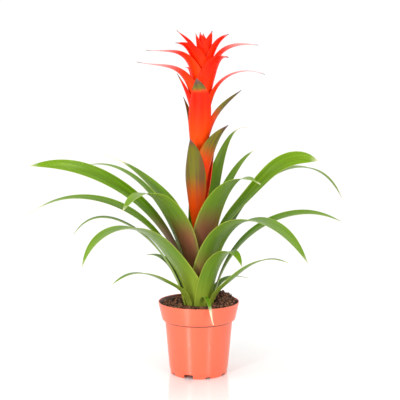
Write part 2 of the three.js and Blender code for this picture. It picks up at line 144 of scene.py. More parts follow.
# One row a bract, roughly from the lowest upwards, with its foot's height on the stalk. olive is where
# the red starts to turn olive and where it has, which is past the tip on a bract that stays red.
BRACTS = [
    dict(azimuth=248, height=205, length=143, width=39, slope=[80, 81, 83, 80, 56], peak=0.52,
         olive=(0.22, 0.66)),
    dict(azimuth=326, height=235, length=139, width=47, slope=[82, 82, 78, 64, 42], blunt=2.6,
         olive=(0.45, 0.8)),
    dict(azimuth=25, height=222, length=114, width=22, slope=[78, 77, 80, 84, 82], olive=(0.6, 0.95)),
    dict(azimuth=142, height=282, length=128, width=19, slope=[82, 82, 80, 74, 62], olive=(0.3, 0.5)),
    dict(azimuth=262, height=297, length=135, width=40, slope=[79, 78, 80, 80, 75], sway=-28, peak=0.5,
         blunt=4, olive=(0.84, 0.9)),
    dict(azimuth=2, height=300, length=130, width=36, slope=[80, 80, 71, 50, 44], peak=0.55, blunt=2.4,
         tail=1.1, olive=(0.5, 0.75)),
    dict(azimuth=93, height=309, length=130, width=22, slope=[82, 82, 72, 46, 20], peak=0.55, blunt=1.8),
    dict(azimuth=183, height=316, length=128, width=32, slope=[82, 84, 78, 68, 60], peak=0.5, tail=1.2,
         olive=(0.85, 0.98)),
    dict(azimuth=347, height=317, length=180, width=29.5, slope=[84, 84, 72, 20, -22], blunt=1.2,
         tail=1.8, fade=0.56, fading=0.34),
    dict(azimuth=84, height=330, length=140, width=16, slope=[84, 84, 76, 40, 0], peak=0.5, blunt=1.8),
    dict(azimuth=205, height=333, length=180, width=39, slope=[82, 83, 62, 10, 7], blunt=1.2, tail=1.5,
         fade=0.6, fading=0.3),
    dict(azimuth=117, height=342, length=136, width=28, slope=[83, 84, 76, 44, 10], peak=0.5, blunt=1.6),
    dict(azimuth=313, height=351, length=130, width=42, slope=[82, 82, 82, 60, -16], blunt=2.6, fade=0.9),
    dict(azimuth=203, height=365, length=160, width=42, slope=[82, 82, 68, 8, 0], blunt=1.2, tail=1.6,
         fade=0.66, fading=0.26),
    dict(azimuth=352, height=380, length=145, width=26.5, slope=[82, 82, 71, 18, -8], peak=0.5, tail=1.6,
         fade=0.6, fading=0.3),
    dict(azimuth=90, height=385, length=124, width=18, foot=7, slope=[82, 83, 75, 44, 0], peak=0.55,
         blunt=1.6),
    dict(azimuth=218, height=394, length=108, width=38, slope=[82, 82, 74, 40, 0], peak=0.5, tail=1.1,
         fade=0.94),
    dict(azimuth=354, height=406, length=97, width=30, slope=[82, 82.4, 81, 66, 28], roll=-28, peak=0.5,
         blunt=1.6, fade=0.9),
    dict(azimuth=100, height=406, length=86, width=12, foot=6, slope=[82, 80, 73, 64, 50], peak=0.5,
         tail=1.3),
    dict(azimuth=182, height=420, length=91, width=29.5, slope=[79, 80, 70.6, 50.4, 40], roll=28,
         blunt=1.4, tail=1.4, fade=0.9),
]
BRACT_SHAPE = dict(BLADE_SHAPE, foot=9, peak=0.4, tail=1, clasp=0.3, free=0.8, channel=150,
                   tip_channel=90, olive=(2, 3), fade=0.92, fading=0.1)

# The young bracts that stand round the bud.
CROWN_BRACTS = [
    dict(azimuth=312, height=428, length=71, width=30, slope=[87, 84, 82, 78, 76]),
    dict(azimuth=225, height=432, length=65, width=30, slope=[87, 84, 82, 82, 83]),
    dict(azimuth=205, height=430, length=66, width=28, slope=[87, 83, 76, 76, 80]),
    dict(azimuth=180, height=427, length=58, width=26, slope=[87, 80, 70, 64, 70]),
    dict(azimuth=100, height=430, length=70, slope=[87, 84, 78, 72, 66]),
    dict(azimuth=35, height=427, length=66, width=28, slope=[87, 86, 84, 82, 80]),
]
CROWN_SHAPE = dict(BRACT_SHAPE, width=24, blunt=1.8)


def linear(red, green, blue):
    """A picture's colour, 0 to 255, as the linear light that shaders take."""
    return tuple(((c / 255 + 0.055) / 1.055) ** 2.4 if c > 10 else c / 3294.6 for c in (red, green, blue))


def colour_prop(name, description, *rgb):
    return bpy.props.FloatVectorProperty(
        name=name, description=description, subtype="COLOR", size=3, min=0, max=1, default=linear(*rgb))


def length_prop(name, description, millimetres):
    return bpy.props.FloatProperty(
        name=name, description=description, unit="LENGTH", min=0, default=millimetres * MM, precision=5)


def power_prop(name, description, watts):
    return bpy.props.FloatProperty(name=name, description=description, unit="POWER", min=0, default=watts)


class PotSettings(bpy.types.PropertyGroup):
    """Sizes and colour of the nursery pot."""
    height: length_prop("Height", "Height of the pot", 106)
    rim_radius: length_prop("Rim radius", "Outer radius at the rim's top", 60)
    wall: length_prop("Wall", "Thickness of the moulded wall", 1.5)
    colour: colour_prop("Plastic", "Colour of the moulded plastic", 236, 98, 60)


class SoilSettings(bpy.types.PropertyGroup):
    """How the peat in the pot looks."""
    dark: colour_prop("Damp peat", "Colour of the damp peat", 34, 18, 13)
    light: colour_prop("Dry peat", "Colour of the drier crumbs", 178, 116, 86)
    crumbs: bpy.props.IntProperty(name="Crumbs", description="Number of loose crumbs", min=0, default=1100)
    fibres: bpy.props.IntProperty(name="Fibres", description="Number of loose fibres", min=0, default=320)


class LeafSettings(bpy.types.PropertyGroup):
    """Thickness and colours of the rosette's leaves."""
    thickness: length_prop("Thickness", "Thickness of a leaf at its middle", 0.8)
    green: colour_prop("Green", "Colour of a leaf's middle", 74, 110, 10)
    base: colour_prop("Base", "Colour of a leaf's foot", 150, 166, 46)
    flush: colour_prop("Flush", "Colour of the dark flush on the inner leaves", 146, 84, 66)
    dry: colour_prop("Dry tip", "Colour of a dried tip", 222, 214, 184)


class BractSettings(bpy.types.PropertyGroup):
    """Thickness and colours of the flower head's bracts."""
    thickness: length_prop("Thickness", "Thickness of a bract at its middle", 0.8)
    red: colour_prop("Red", "Colour of a bract's middle", 250, 26, 4)
    base: colour_prop("Base", "Colour of a bract's foot", 248, 84, 8)
    olive: colour_prop("Olive", "Colour of the lower bracts' tips", 104, 112, 34)
    # The pale tip colour is a painted highlight: light glinting off and shining through the thin tips.
    pale: colour_prop("Pale tip", "Colour of the upper bracts' thin tips", 236, 170, 168)


class StageSettings(bpy.types.PropertyGroup):
    """Floor, light and camera."""
    floor: colour_prop("Floor", "Colour of the floor", 251, 251, 251)
    sky: bpy.props.FloatProperty(name="Surround", description="Brightness of the white room", default=1.05)
    key: power_prop("Front lights", "Power of the left strip light", 12)
    top: power_prop("Top light", "Power of the light above", 4.5)
    lens: bpy.props.FloatProperty(
        name="Lens", description="Focal length, millimetres", unit="CAMERA", default=67.8)


# ---- meshes ----
def smoothstep(x, low, high):
    t = np.clip((x - low) / (high - low), 0, 1)
    return t * t * (3 - 2 * t)


def new_piece(name, points, faces, material, slot, sharp=40):
    """A smooth mesh object of that name, which rides on the plant's body."""
    mesh = bpy.data.meshes.new(name)
    mesh.from_pydata(np.asarray(points, float).tolist(), [], faces)
    mesh.validate()
    mesh.polygons.foreach_set("use_smooth", [True] * len(mesh.polygons))
    mesh.set_sharp_from_angle(angle=math.radians(sharp))
    mesh.materials.append(material)
    piece = bpy.data.objects.new(name, mesh)
    bpy.context.scene.collection.objects.link(piece)
    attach(piece, BODY)
    return piece


def add_values(piece, name, values):
    """Keeps one number or one vector a vertex on the mesh, for its material to read."""
    values = np.asarray(values, np.float32)
    vectors = values.ndim > 1
    made = piece.data.attributes.new(name, "FLOAT_VECTOR" if vectors else "FLOAT", "POINT")
    made.data.foreach_set("vector" if vectors else "value", values.ravel())


def lean_at(height):
    """How far the stalk and all that grows on it stand off the pot's axis at a height."""
    t = np.maximum(0, (height - STALK_FOOT) / LEAN_SPAN)
    return LEAN * t * t - BOW * np.sin(np.pi * np.minimum(t, 1))


def spline(values, s):
    """A smooth curve through evenly spaced values."""
    v = np.concatenate(([values[0]], values, [values[-1]])).astype(float)
    place = s * (len(values) - 1)
    i = np.minimum(place.astype(int), len(values) - 2)
    w = place - i
    a, b, c, d = (v[i + k] for k in range(4))
    return 0.5 * (2 * b + (c - a) * w + (2 * a - 5 * b + 4 * c - d) * w**2 + (3 * b - a - 3 * c + d) * w**3)


def width_at(blade, s):
    """Full at the peak, the foot's width at the base, and narrowing to the tip."""
    grown = smoothstep(s, 0, blade["peak"])
    beyond = np.maximum(0, (s - blade["peak"]) / (1 - blade["peak"]))
    taper = (1 - beyond ** blade["blunt"]) ** blade["tail"]
    for where, share, span in blade["pinches"]:
        taper = taper * (1 - (1 - share) * np.exp(-(((s - where) / span) ** 2)))
    return np.maximum(TIP_WIDTH, (blade["foot"] + (blade["width"] - blade["foot"]) * grown) * taper)


def midrib(blade, s):
    """Points along the midrib, its sideways directions and the normals of its upper face."""
    heading = math.radians(blade["azimuth"]) + math.radians(blade["sway"]) * s**2
    slope = np.radians(spline(blade["slope"], s))
    flat = np.stack([np.cos(heading), np.sin(heading), np.zeros_like(s)], 1)
    along = flat * np.cos(slope)[:, None] + np.outer(np.sin(slope), (0, 0, 1))
    steps = (along[1:] + along[:-1]) / 2 * blade["length"] / (len(s) - 1)
    foot = np.array([math.cos(heading[0]), math.sin(heading[0]), 0]) * blade["radius"]
    foot[2] = blade["height"]
    points = foot + np.concatenate([np.zeros((1, 3)), np.cumsum(steps, 0)])
    across = np.stack([-np.sin(heading), np.cos(heading), np.zeros_like(s)], 1)
    settled = 1 - blade["settle"] * smoothstep(s, 0.5, 1)
    roll = np.radians(blade["roll"]) * s ** blade["rise"] * settled
    side = across * np.cos(roll)[:, None] + np.cross(along, across) * np.sin(roll)[:, None]
    return points, side, np.cross(along, side)


def blade_sheet(blade, steps):
    """Middle points and upward directions of a blade, its rows from foot to tip."""
    s = np.linspace(0, 1, steps + 1)
    points, side, normal = midrib(blade, s)
    width = width_at(blade, s)
    reach = np.hypot(points[:, 0], points[:, 1])
    free = smoothstep(s, blade["clasp"], blade["free"])
    clasped = np.minimum(width / reach, math.radians(WIDEST_CLASP))
    channel = np.radians(blade["channel"] + (blade["tip_channel"] - blade["channel"]) * s)
    wrap = clasped + (channel - clasped) * free
    curve = width / wrap
    across = np.linspace(-1, 1, BLADE_COLUMNS + 1)
    angle = wrap[:, None] * across / 2
    lift = curve[:, None] * (1 - np.cos(angle))
    middle = points[:, None] + side[:, None] * (curve[:, None] * np.sin(angle))[..., None]
    middle = middle + normal[:, None] * lift[..., None]
    up = normal[:, None] * np.cos(angle)[..., None] - side[:, None] * np.sin(angle)[..., None]
    return s, across, width, middle, up


def sheet_faces(steps):
    """Faces of a closed sheet whose upper points come first and whose lower points follow."""
    grid = np.arange((steps + 1) * (BLADE_COLUMNS + 1)).reshape(steps + 1, -1)
    under = grid + grid.size
    upper = np.stack([grid[:-1, :-1], grid[1:, :-1], grid[1:, 1:], grid[:-1, 1:]], -1).reshape(-1, 4)
    faces = np.concatenate([upper, upper[:, ::-1] + grid.size]).tolist()
    for a, b, flip in ((grid[:, 0], under[:, 0], False), (grid[:, -1], under[:, -1], True),
                       (grid[0], under[0], True), (grid[-1], under[-1], False)):
        for k in range(len(a) - 1):
            face = [a[k], b[k], b[k + 1], a[k + 1]]
            faces.append(face[::-1] if flip else face)
    return [[int(i) for i in face] for face in faces]


THINNED_AT_MARGIN = 0.55
GRAIN_SHIFT = 0.37


def make_blade(name, blade, thickness, material, slot, number, steps=BLADE_STEPS):
    """A leaf or bract: thick at its middle, thin at its margins, with what its material reads.

    Its number shifts the grain, so that no two blades are streaked alike.
    """
    s, across, width, middle, up = blade_sheet(blade, steps)
    thin = 1 - THINNED_AT_MARGIN * across**4
    half = 0.5 * thickness / MM * thin[:, None]
    sheets = [middle + up * half, middle - up * half]
    points = np.concatenate([sheet.reshape(-1, 3) for sheet in sheets])
    points[:, 0] += lean_at(points[:, 2])
    piece = new_piece(name, points * MM, sheet_faces(steps), material, slot)
    rows = np.repeat(s, len(across))
    edge = np.tile(across, len(s))
    reach = np.repeat(width, len(across)) * edge / 2
    grain = np.stack([reach * MM, rows * blade["length"] * MM, np.full_like(rows, GRAIN_SHIFT * number)], 1)
    add_values(piece, "growth", np.tile(rows, 2))
    add_values(piece, "edge", np.tile(np.abs(edge), 2))
    add_values(piece, "grain", np.tile(grain, (2, 1)))
    add_values(piece, "stain", np.tile(stain_of(blade, rows, edge), 2))
    add_values(piece, "fade", np.tile(smoothstep(rows, blade["fade"], blade["fade"] + blade["fading"]), 2))
    add_values(piece, "under", np.repeat([0.0, 1.0], len(rows)))
    return piece


FLUSH_BLEND = 0.2


def stain_of(blade, s, edge):
    """How much of the second colour shows: a leaf's dark flush below, or a bract's olive tip."""
    if "flush" in blade:
        top = blade["flush"]
        return (1 - smoothstep(s, top - FLUSH_BLEND, top)) * (1 - 0.5 * edge**4)
    start, full = blade["olive"]
    return smoothstep(s, start, full)


def round_angles(step):
    """Angles all the way round, a step of degrees apart."""
    return np.radians(np.arange(0, 360, step))


def turned(profile, angles):
    """Points and faces of a closed solid turned from [radius, height] points, its ends on the axis."""
    rings = profile[1:-1]
    count = len(angles)
    circle = np.stack([np.cos(angles), np.sin(angles)], 1)
    ring_points = [np.column_stack([r * circle, np.full(count, h)]) for r, h in rings]
    points = np.concatenate([[[0, 0, profile[0][1]]], *ring_points, [[0, 0, profile[-1][1]]]])
    faces = []
    last = len(points) - 1
    for k in range(count):
        n = (k + 1) % count
        faces.append([0, 1 + n, 1 + k])
        for i in range(len(rings) - 1):
            a = 1 + i * count
            faces.append([a + k, a + n, a + count + n, a + count + k])
        top = 1 + (len(rings) - 1) * count
        faces.append([top + k, top + n, last])
    return points, faces


# ---- materials ----
def plain_material(name):
    material = bpy.data.materials.new(name)
    material.use_nodes = True
    return material, material.node_tree, material.node_tree.nodes["Principled BSDF"]


def node(tree, kind, inputs=(), **settings):
    """A node with its settings and inputs, each a value or another node's output."""
    made = tree.nodes.new(kind)
    for key, value in settings.items():
        setattr(made, key, value)
    for key, value in dict(inputs).items():
        if isinstance(value, bpy.types.NodeSocket):
            tree.links.new(value, made.inputs[key])
        else:
            made.inputs[key].default_value = value
    return made


def attribute(tree, name, vector=False):
    return node(tree, "ShaderNodeAttribute", attribute_name=name).outputs["Vector" if vector else "Fac"]


def mix(tree, factor, a, b):
    """Two colours, mixed."""
    a, b = (c if isinstance(c, bpy.types.NodeSocket) else (*c, 1) for c in (a, b))
    return node(tree, "ShaderNodeMix", {0: factor, 6: a, 7: b}, data_type="RGBA").outputs[2]


def maths(tree, operation, a, b, clamp=False):
    return node(tree, "ShaderNodeMath", {0: a, 1: b}, operation=operation, use_clamp=clamp).outputs[0]


def ranged(tree, value, low, high, to_low=0.0, to_high=1.0):
    """A value's range mapped smoothly onto another."""
    return node(tree, "ShaderNodeMapRange", {0: value, 1: low, 2: high, 3: to_low, 4: to_high},
                interpolation_type="SMOOTHSTEP").outputs[0]


def stretched(tree, vector, scale):
    return node(tree, "ShaderNodeVectorMath", {0: vector, 1: scale}, operation="MULTIPLY").outputs[0]


def noise_of(tree, vector, scale=1.0, detail=3.0, roughness=0.55):
    return node(tree, "ShaderNodeTexNoise", {"Vector": vector, "Scale": scale, "Detail": detail,
                                             "Roughness": roughness}).outputs["Fac"]


def bump(tree, shader, height, distance):
    made = node(tree, "ShaderNodeBump", {"Height": height, "Distance": distance, "Strength": 1.0})
    tree.links.new(made.outputs["Normal"], shader.inputs["Normal"])


def veins(tree, shader, distance):
    """Fine lines along a blade, raised a little. Returns them and the broad streaks between them."""
    grain = attribute(tree, "grain", vector=True)
    fine = noise_of(tree, stretched(tree, grain, (1100, 18, 9)), detail=2)
    broad = noise_of(tree, stretched(tree, grain, (170, 7, 9)), detail=3)
    bump(tree, shader, fine, distance)
    return fine, broad


def leaf_material(settings):
    """Glossy green with streaks along it, paler below and at the margins, flushed at the foot."""
    material, tree, shader = plain_material("leaf_skin")
    fine, broad = veins(tree, shader, 0.0002)
    growth = attribute(tree, "growth")
    green = tuple(settings.green)
    lighter = tuple(min(1, c * 1.6) for c in green)
    body = mix(tree, ranged(tree, broad, 0.3, 0.75), green, lighter)
    body = mix(tree, ranged(tree, growth, 0.55, 1.0, 0, 0.5), body, linear(118, 150, 16))
    body = mix(tree, ranged(tree, growth, 0.4, 0.05), body, tuple(settings.base))
    lines = maths(tree, "MULTIPLY", ranged(tree, fine, 0.52, 0.72), 0.4)
    body = mix(tree, lines, body, linear(146, 172, 44))
    below = maths(tree, "MULTIPLY", attribute(tree, "under"), 0.3)
    body = mix(tree, below, body, linear(136, 158, 70))
    stain = maths(tree, "MULTIPLY", attribute(tree, "stain"), ranged(tree, broad, 0.15, 0.5, 0.6, 0.95))
    body = mix(tree, stain, body, tuple(settings.flush))
    body = mix(tree, ranged(tree, attribute(tree, "edge"), 0.88, 1.0, 0, 0.5), body, linear(186, 196, 78))
    body = mix(tree, attribute(tree, "fade"), body, tuple(settings.dry))
    tree.links.new(body, shader.inputs["Base Color"])
    rough = ranged(tree, broad, 0.2, 0.8, 0.24, 0.36)
    tree.links.new(rough, shader.inputs["Roughness"])
    shader.inputs["Specular IOR Level"].default_value = 0.14
    return material


def bract_material(settings):
    """Waxy red, orange at the foot, with an olive tip blotched with purple, or a thin tip paled with
    painted highlight.
    """
    material, tree, shader = plain_material("bract_skin")
    fine, broad = veins(tree, shader, 0.00015)
    growth = attribute(tree, "growth")
    red = tuple(settings.red)
    body = mix(tree, ranged(tree, broad, 0.35, 0.8, 0, 0.5), red, linear(255, 58, 8))
    body = mix(tree, ranged(tree, growth, 0.8, 0.1), body, tuple(settings.base))
    lines = maths(tree, "MULTIPLY", ranged(tree, fine, 0.6, 0.8), 0.2)
    body = mix(tree, lines, body, linear(255, 112, 62))
    smooth_stain = attribute(tree, "stain")
    streaks = ranged(tree, broad, 0.2, 0.8, -0.12, 0.12)
    stain = maths(tree, "ADD", smooth_stain, streaks, clamp=True)
    stain = maths(tree, "MULTIPLY", stain, ranged(tree, smooth_stain, 0.0, 0.12))
    blotches = ranged(tree, broad, 0.42, 0.62, 0, 0.7)
    blotched = mix(tree, blotches, tuple(settings.olive), linear(118, 64, 52))
    blotched = mix(tree, ranged(tree, growth, 0.89, 0.97, 0, 0.75), blotched, linear(88, 58, 62))
    body = mix(tree, stain, body, blotched)
    # Painted highlight: the thin tips of bracts that stay red are paled to pinkish white, for light
    # glinting off and shining through them.
    unstained = maths(tree, "SUBTRACT", 1.0, smooth_stain)
    fade = maths(tree, "MULTIPLY", attribute(tree, "fade"), unstained)
    body = mix(tree, fade, body, tuple(settings.pale))
    body = mix(tree, ranged(tree, growth, 0.93, 0.99, 0, 0.8), body, linear(120, 84, 78))
    tree.links.new(body, shader.inputs["Base Color"])
    rough = ranged(tree, broad, 0.2, 0.8, 0.36, 0.5)
    tree.links.new(rough, shader.inputs["Roughness"])
    shader.inputs["Specular IOR Level"].default_value = 0.1
    return material


def place_of(tree):
    return node(tree, "ShaderNodeTexCoord").outputs["Object"]


def stalk_material():
    """The stalk's skin, green low down and red near the crown."""
    material, tree, shader = plain_material("stalk_skin")
    place = place_of(tree)
    streak = noise_of(tree, stretched(tree, place, (260, 260, 22)), detail=4)
    height = node(tree, "ShaderNodeSeparateXYZ", {0: place}).outputs["Z"]
    body = mix(tree, ranged(tree, height, 0.16, 0.34), linear(118, 138, 58), linear(206, 62, 28))
    body = mix(tree, ranged(tree, streak, 0.4, 0.7, 0, 0.5), body, linear(150, 96, 52))
    tree.links.new(body, shader.inputs["Base Color"])
    tree.links.new(ranged(tree, streak, 0.3, 0.7, 0.45, 0.62), shader.inputs["Roughness"])
    bump(tree, shader, streak, 0.0003)
    return material


# Heights on the pot's inner face, in metres, between which the painted shade inside the pot gives way to
# plain plastic.
SHADED_BELOW, UNSHADED_ABOVE = 0.1046, 0.1056


def plastic_material(settings):
    """Moulded plastic: satin that draws highlights out upright, with flow marks, scuffs low down and
    painted shade on its inner face.
    """
    material, tree, shader = plain_material("pot_plastic")
    place = place_of(tree)
    flow = noise_of(tree, stretched(tree, place, (60, 60, 9)), detail=4)
    fine = noise_of(tree, stretched(tree, place, (1500, 1500, 700)), detail=2)
    scuff = noise_of(tree, place, scale=420, detail=5, roughness=0.7)
    base = tuple(settings.colour)
    body = mix(tree, ranged(tree, flow, 0.35, 0.7, 0, 0.5), base, tuple(c * 0.86 for c in base))
    height = node(tree, "ShaderNodeSeparateXYZ", {0: place}).outputs["Z"]
    low = ranged(tree, height, 0.02, 0.0)
    worn = maths(tree, "ADD", low, 0.08)
    marks = maths(tree, "MULTIPLY", ranged(tree, scuff, 0.58, 0.7), worn, clamp=True)
    body = mix(tree, maths(tree, "MULTIPLY", marks, 0.5), body, linear(250, 178, 150))
    # Painted shade: the inner face below the rim's top is darkened to dark brown, as shade falls inside the
    # pot.
    shade_below_rim = ranged(tree, height, UNSHADED_ABOVE, SHADED_BELOW, 0, 0.93)
    stain = maths(tree, "MULTIPLY", attribute(tree, "inner"), shade_below_rim)
    body = mix(tree, stain, body, linear(66, 34, 26))
    tree.links.new(body, shader.inputs["Base Color"])
    tree.links.new(ranged(tree, scuff, 0.3, 0.75, 0.34, 0.4), shader.inputs["Roughness"])
    shader.inputs["Specular IOR Level"].default_value = 0.9
    shader.inputs["Anisotropic"].default_value = 0.9
    shader.inputs["Anisotropic Rotation"].default_value = 0.25
    tangent = node(tree, "ShaderNodeTangent", direction_type="RADIAL", axis="Z")
    tree.links.new(tangent.outputs[0], shader.inputs["Tangent"])
    bump(tree, shader, fine, 0.00003)
    return material


def peat_material(settings, name, paler):
    """Dark damp peat in grains of many shades, with painted shade in the gaps between them."""
    material, tree, shader = plain_material(name)
    place = place_of(tree)
    lumps = noise_of(tree, place, scale=260, detail=6, roughness=0.7)
    clods = noise_of(tree, place, scale=70, detail=3)
    shade = maths(tree, "ADD", maths(tree, "MULTIPLY", lumps, 0.6), maths(tree, "MULTIPLY", clods, 0.4))
    grains = node(tree, "ShaderNodeTexVoronoi", {"Vector": place, "Scale": 430}).outputs
    tone = ranged(tree, grains["Color"], 0.2, 0.8, -0.13, 0.13)
    dry = ranged(tree, maths(tree, "ADD", shade, tone), 0.46 - paler, 0.66 - paler)
    # Painted shade: each grain darkens towards its edge, for the shade in the gaps between grains.
    dry = maths(tree, "MULTIPLY", dry, ranged(tree, grains["Distance"], 0.7, 0.35, 0.25, 1.15))
    body = mix(tree, dry, tuple(settings.dark), tuple(settings.light))
    tree.links.new(body, shader.inputs["Base Color"])
    shader.inputs["Roughness"].default_value = 0.95
    bump(tree, shader, maths(tree, "SUBTRACT", lumps, grains["Distance"]), 0.0012)
    return material


def fibre_material():
    """Loose fibres and bits of bark, reddish brown to straw."""
    material, tree, shader = plain_material("peat_fibre")
    tone = noise_of(tree, place_of(tree), scale=160, detail=2)
    body = mix(tree, ranged(tree, tone, 0.35, 0.65), linear(110, 52, 34), linear(198, 152, 110))
    tree.links.new(body, shader.inputs["Base Color"])
    shader.inputs["Roughness"].default_value = 0.85
    return material


# ---- operators ----
class BROMELIAD_OT_pot(bpy.types.Operator):
    """Moulds the nursery pot: rim band, tapered body and notched foot ring"""
    bl_idname = "bromeliad.pot"
    bl_label = "Pot"

    def execute(self, context):
        settings = context.scene.bromeliad_pot
        height, rim = settings.height / MM, settings.rim_radius / MM
        points, faces = pot_shape(height, rim, settings.wall / MM)
        pot = new_piece("nursery_pot", points * MM, faces, plastic_material(settings), "plastic", sharp=32)
        add_values(pot, "inner", inner_face(points, height, rim))
        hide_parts("pot")
        return {"FINISHED"}


# The pad in the middle of the underside, the recess round it and the foot ring.
PAD_RADIUS = 12
RECESS_HEIGHT = 6
FOOT_INNER, FOOT_OUTER = 39.4, 41.9
FLOOR_TOP = 7.5
# The body's outer radius at its foot and under the band, and the band's at its foot.
BODY_FOOT, BODY_TOP, BAND_FOOT = 43.4, 49.8, 54.6
# Half the width and the height of the notches in the foot ring, of which every third is a tall one, the
# radius that the widths are measured at, and half the degrees that their sides take.
NOTCH_TALL = (7.2, 5.8)
NOTCH_LOW = (3.8, 2.6)
NOTCHES = [(9 + 40 * i, *(NOTCH_TALL if i % 3 == 0 else NOTCH_LOW)) for i in range(9)]
NOTCH_RADIUS = 42
NOTCH_SIDE = 0.4
TURN_STEP = 2.5


def rounded(corner, before, after, radius, cuts=4):
    """Points of a corner rounded off between its neighbours."""
    corner, before, after = (np.array(p, float) for p in (corner, before, after))
    a = corner + (before - corner) / np.linalg.norm(before - corner) * radius
    b = corner + (after - corner) / np.linalg.norm(after - corner) * radius
    t = np.linspace(0, 1, cuts + 1)[:, None]
    return ((1 - t) ** 2 * a + 2 * t * (1 - t) * corner + t**2 * b).tolist()


def pot_profile(height, rim, wall):
    """The pot's section, from the middle of its underside round the rim to the middle of its floor."""
    # Each corner's place and how far from it the rounding starts.
    corners = [
        ((PAD_RADIUS, 0), 0.6), ((PAD_RADIUS + 0.6, RECESS_HEIGHT), 0.6),
        ((38.8, RECESS_HEIGHT), 0.6), ((FOOT_INNER, 0), 0.5), ((FOOT_OUTER, 0), 0.5), ((42.3, 4.6), 0.8),
        ((BODY_FOOT, 8.5), 2.2), ((BODY_TOP, 77), 1.2), ((50.6, 79), 0.6), ((53.8, 79.8), 0.7),
        ((BAND_FOOT, 81.8), 0.9), ((rim - 0.3, height - 1.6), 0.8), ((rim - 0.1, height), 0.5),
        ((rim - wall, height), 0.5), ((54.3 - wall, 82.4), 1.2), ((BODY_TOP - wall, 79), 1.2),
        ((BODY_FOOT - wall, 10), 1.2), ((40.5, FLOOR_TOP), 1.0),
    ]
    places = [(0, 0), *(place for place, _ in corners), (0, FLOOR_TOP)]
    section = [(0, 0)]
    for k, (place, radius) in enumerate(corners):
        section += rounded(place, places[k], places[k + 2], radius)
    return [*section, (0, FLOOR_TOP)]


def pot_shape(height, rim, wall):
    """Points and faces of the pot, its foot ring raised where it is notched."""
    edges = []
    for middle, reach, _ in NOTCHES:
        half = math.degrees(reach / NOTCH_RADIUS)
        edges += [middle + sign * half + d for sign in (-1, 1) for d in (-NOTCH_SIDE, NOTCH_SIDE)]
    angles = np.unique(np.concatenate([round_angles(TURN_STEP), np.radians(np.array(edges) % 360)]))
    points, faces = turned(pot_profile(height, rim, wall), angles)
    turn = np.degrees(np.arctan2(points[:, 1], points[:, 0]))
    radius = np.hypot(points[:, 0], points[:, 1])
    foot = (radius > FOOT_INNER - 0.9) & (radius < FOOT_OUTER + 0.7)
    for middle, reach, rise in NOTCHES:
        away = np.abs((turn - middle + 180) % 360 - 180)
        inside = foot & (away < math.degrees(reach / NOTCH_RADIUS)) & (points[:, 2] < rise)
        points[inside, 2] = rise
    return points, faces


def inner_face(points, height, rim):
    """1 on the pot's inner face, which is painted dark with shade, and 0 on the rest."""
    reach, level = np.hypot(points[:, 0], points[:, 1]), points[:, 2]
    bends = [8, 77, 79.8, 81.8, height]
    outer = np.interp(level, bends, [BODY_FOOT, BODY_TOP, 53.8, BAND_FOOT, rim])
    return (level > FLOOR_TOP - 0.3) & (reach < outer - 0.8)


class BROMELIAD_OT_soil(bpy.types.Operator):
    """Fills the pot with peat, and scatters crumbs and fibres on it"""
    bl_idname = "bromeliad.soil"
    bl_label = "Soil"

    def execute(self, context):
        settings = context.scene.bromeliad_soil
        points, faces = soil_shape()
        peat = peat_material(settings, "peat", paler=0)
        soil = new_piece("peat_mound", points * MM, faces, peat, "soil", sharp=60)
        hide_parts("soil")
        dice = random.Random(41)
        crumbs = scatter(dice, settings.crumbs, crumb)
        crumb_peat = peat_material(settings, "peat_crumb", paler=0.05)
        new_piece("peat_crumbs", *crumbs, crumb_peat, "soil", sharp=180)
        fibres = scatter(dice, settings.fibres, fibre)
        new_piece("peat_fibres", *fibres, fibre_material(), "soil", sharp=180)
        return {"FINISHED"}


SOIL_EDGE = 56.8
SOIL_RINGS = 46
# The plain hole that the plant stands in.
PIT_RADIUS, PIT_FLOOR_RADIUS, PIT_FLOOR = 23.6, 21.9, 90.5
# How much higher the peat stands at the rim's right and at its back, and the heap of it between them.
TILT_RIGHT, TILT_BACK, TILT_REACH = 3.2, 1.9, 60
HEAP = dict(x=36, y=28, height=7.5, spread=15)
# The width and the height of the surface's lumps, and what sets each layer of them apart.
CLODS = [(9, 2.2, 3.1), (3.6, 2.2, 8.2)]
GRIT = (1.5, 1.0, 5.7)


def lumps_at(x, y, width, height, layer):
    return noise.noise(Vector((x / width, y / width, layer))) * height


def soil_height(x, y):
    """The peat's surface: a mound that stands higher on the right and at the back, with clods in it."""
    radius = math.hypot(x, y)
    rise = np.interp(radius, [PIT_RADIUS, 27, 49, SOIL_EDGE], [99.5, 103.2, 103.6, 101])
    tilt = (TILT_RIGHT * x + TILT_BACK * y) / TILT_REACH
    away = (x - HEAP["x"]) ** 2 + (y - HEAP["y"]) ** 2
    heap = HEAP["height"] * math.exp(-away / HEAP["spread"] ** 2)
    inside = smoothstep(radius, PIT_RADIUS, PIT_RADIUS + 5) * (1 - 0.7 * smoothstep(radius, 52, SOIL_EDGE))
    clods = sum(lumps_at(x, y, *layer) for layer in CLODS)
    return float(rise + tilt + heap + inside * clods + lumps_at(x, y, *GRIT))


def soil_shape():
    """Points and faces of the peat: the pot's inside below, and a rough surface above."""
    below = [(0, 7.85), (38.5, 7.85), (41.2, 9.4), (47.6, 78.8), (52.4, 83)]
    # The surface is turned flat at 0 and then raised.
    surface = [(radius, 0) for radius in np.linspace(SOIL_EDGE, PIT_RADIUS, SOIL_RINGS)]
    pit = [(PIT_FLOOR_RADIUS, PIT_FLOOR), (0, PIT_FLOOR - 0.5)]
    points, faces = turned([*below, *surface, *pit], round_angles(TURN_STEP))
    top = points[:, 2] == 0
    points[top, 2] = [soil_height(x, y) for x, y, _ in points[top]]
    return points, faces


